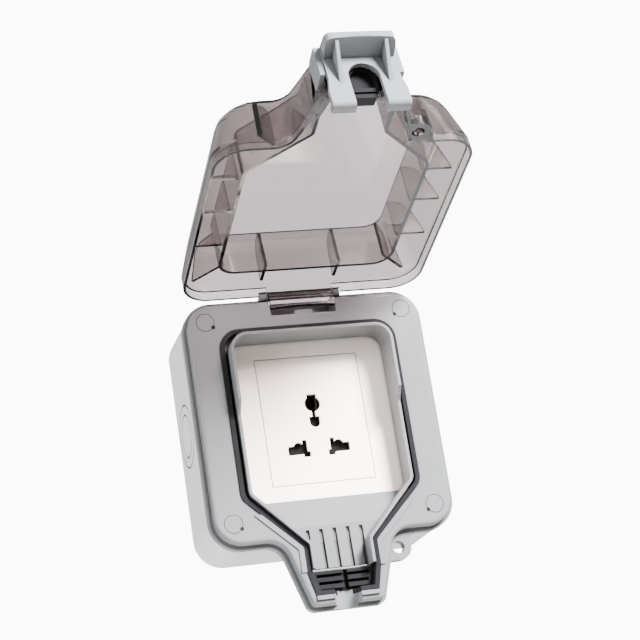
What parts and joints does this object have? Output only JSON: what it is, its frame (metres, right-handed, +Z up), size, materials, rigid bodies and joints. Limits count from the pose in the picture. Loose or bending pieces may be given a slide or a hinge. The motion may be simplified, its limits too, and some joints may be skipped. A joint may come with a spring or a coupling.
{
  "type": "waterproof outlet box",
  "caption": "Wall-mounted weatherproof socket box with a hinged smoke-clear cover, a latch, a gasketed recess and a cable outlet.",
  "frame": {"origin": "centre of the back face, on the wall", "axes": "+X right as seen from the front, +Y into the wall, +Z up"},
  "size_m": [0.1152, 0.1981, 0.2092],
  "materials": {
    "box_grey": "fine matt",
    "deck_grey": "satin",
    "latch_grey": "satin",
    "smoke": "clear, smoke tint",
    "black_rubber": "satin",
    "white": "gloss",
    "dark_plastic": "matt",
    "brass": "rolled strip",
    "steel": "zinc plated"
  },
  "bodies": {
    "housing": {"back_box": "box_grey", "front_frame": "deck_grey", "box_seal": "black_rubber", "cover_gasket": "black_rubber", "cable_comb": "black_rubber", "corner_screws": "steel", "screw_caps": "deck_grey", "socket_plate": "white", "plate_screws": "steel", "socket_module": "white", "contact_carrier": "white", "rear_cover": "white", "rear_cover_screws": "steel", "live_contact": "brass", "neutral_contact": "brass", "earth_contact": "brass", "live_terminal_screw": "steel", "neutral_terminal_screw": "steel", "earth_terminal_screw": "steel", "shutter_spring": "steel", "hinge_pin": "steel"},
    "cover": {"cover": "smoke", "cover_cable_seal": "black_rubber", "latch_pin": "steel"},
    "latch": {"latch": "latch_grey"},
    "shutter": {"shutter": "dark_plastic"}
  },
  "joints": [
    {"name": "cover_hinge", "type": "hinge", "parent": "housing", "child": "cover", "pos_m": [0, -0.0466, 0.0585], "axis": [1, 0, 0], "range_deg": [0, 103.5]},
    {"name": "latch_pivot", "type": "hinge", "parent": "cover", "child": "latch", "pos_m": [0, -0.18307, 0.11204], "axis": [-1, 0, 0], "range_deg": [-5, 9]},
    {"name": "shutter_slide", "type": "slide", "parent": "housing", "child": "shutter", "axis": [0, 0, -1], "range_m": [0, 0.009], "stiffness_N_per_m": 60, "springref_m": -0.004, "deforming": ["shutter_spring"]}
  ]
}
